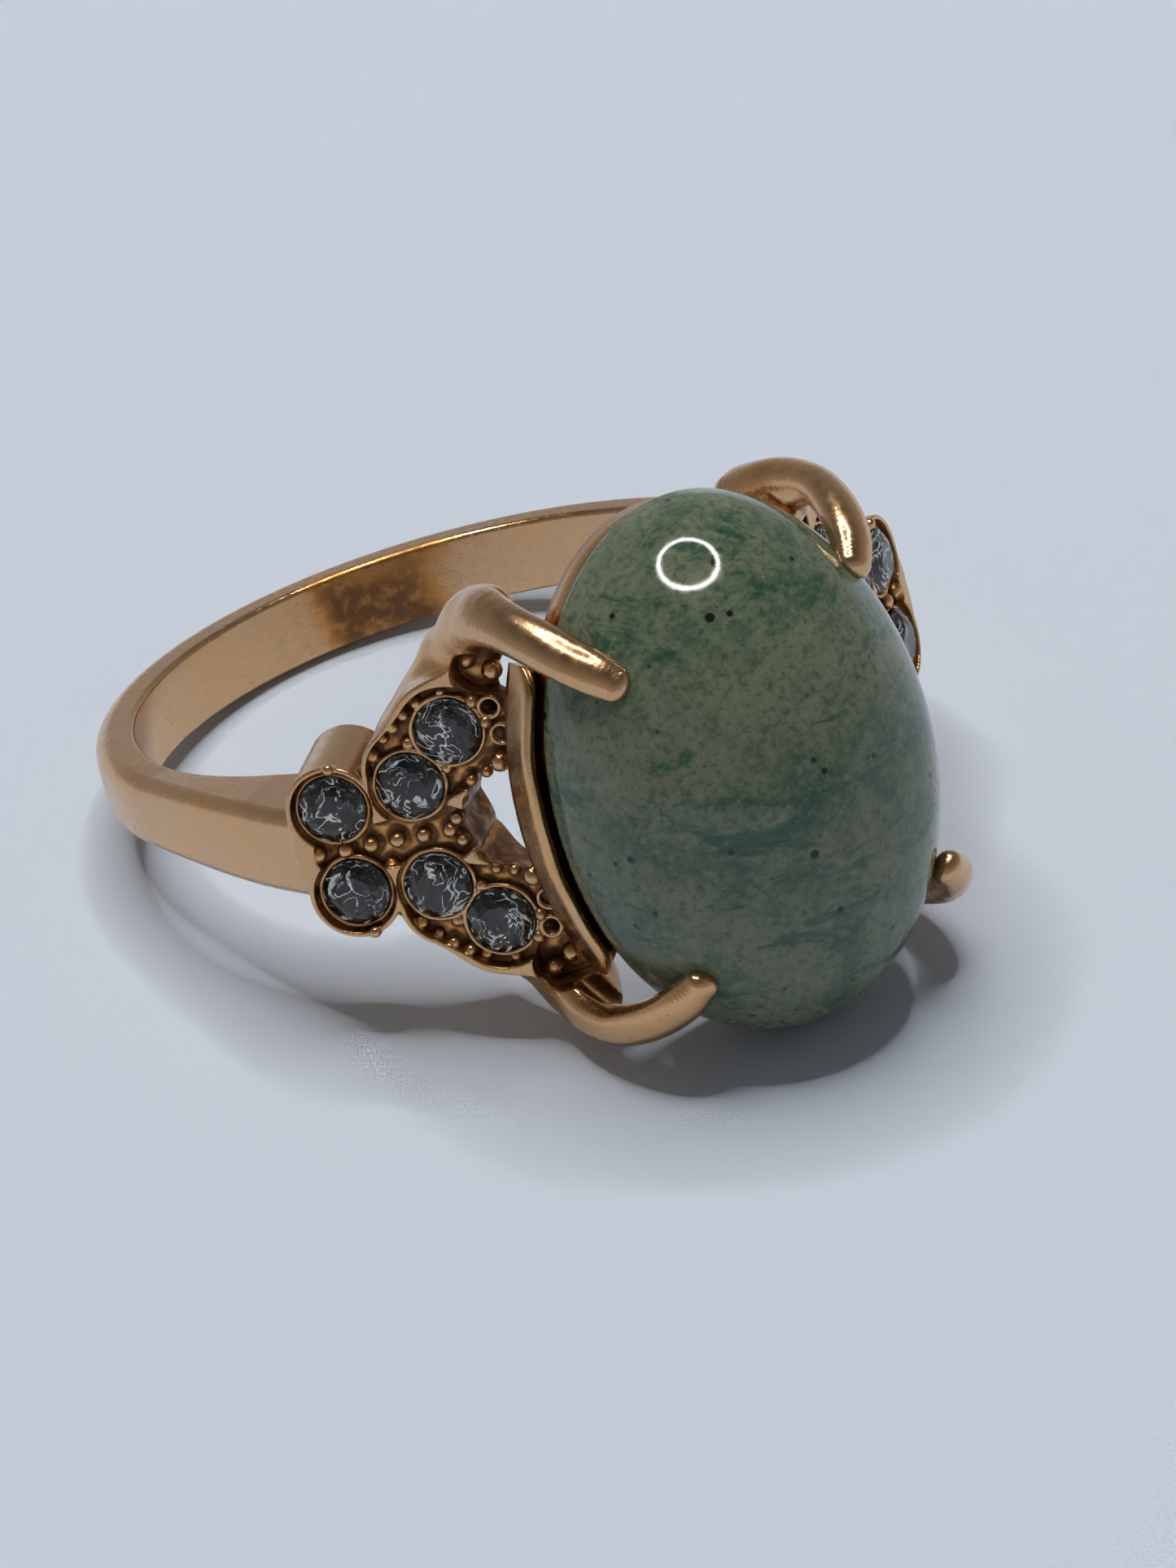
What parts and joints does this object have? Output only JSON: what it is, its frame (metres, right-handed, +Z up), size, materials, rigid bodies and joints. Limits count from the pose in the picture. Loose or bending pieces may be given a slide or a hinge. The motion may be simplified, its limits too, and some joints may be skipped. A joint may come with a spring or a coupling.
{
  "type": "cocktail ring",
  "caption": "Finger ring lying on its side: oval domed green stone in claws over an open gallery, with split shoulders set with small round crystals.",
  "frame": {"origin": "on the surface the ring lies on, under the middle of its bounding box", "axes": "+Z up from the surface; +Y from the stone towards the back of the band; X across the finger. The finger's own axis is 14.8 degrees off +Z, leaning towards +Y"},
  "size_m": [0.0196, 0.028, 0.0137],
  "materials": {
    "rose_gold": "polished rose-gold plating, orange tarnish in the recesses",
    "green_stone": "polished grey-green aventurine, mottled with pale patches and dark flecks",
    "crystal": "clear faceted crystal over a dark seat"
  },
  "bodies": {
    "root": {"band": "rose_gold", "left_shoulder": "rose_gold", "right_shoulder": "rose_gold", "gallery": "rose_gold", "claw_left_upper": "rose_gold", "claw_left_lower": "rose_gold", "claw_right_upper": "rose_gold", "claw_right_lower": "rose_gold", "cabochon": "green_stone", "crystal_left_outer_upper": "crystal", "crystal_left_outer_lower": "crystal", "crystal_left_middle_upper": "crystal", "crystal_left_middle_lower": "crystal", "crystal_left_inner_upper": "crystal", "crystal_left_inner_lower": "crystal", "crystal_right_outer_upper": "crystal", "crystal_right_outer_lower": "crystal", "crystal_right_middle_upper": "crystal", "crystal_right_middle_lower": "crystal", "crystal_right_inner_upper": "crystal", "crystal_right_inner_lower": "crystal"}
  },
  "joints": []
}
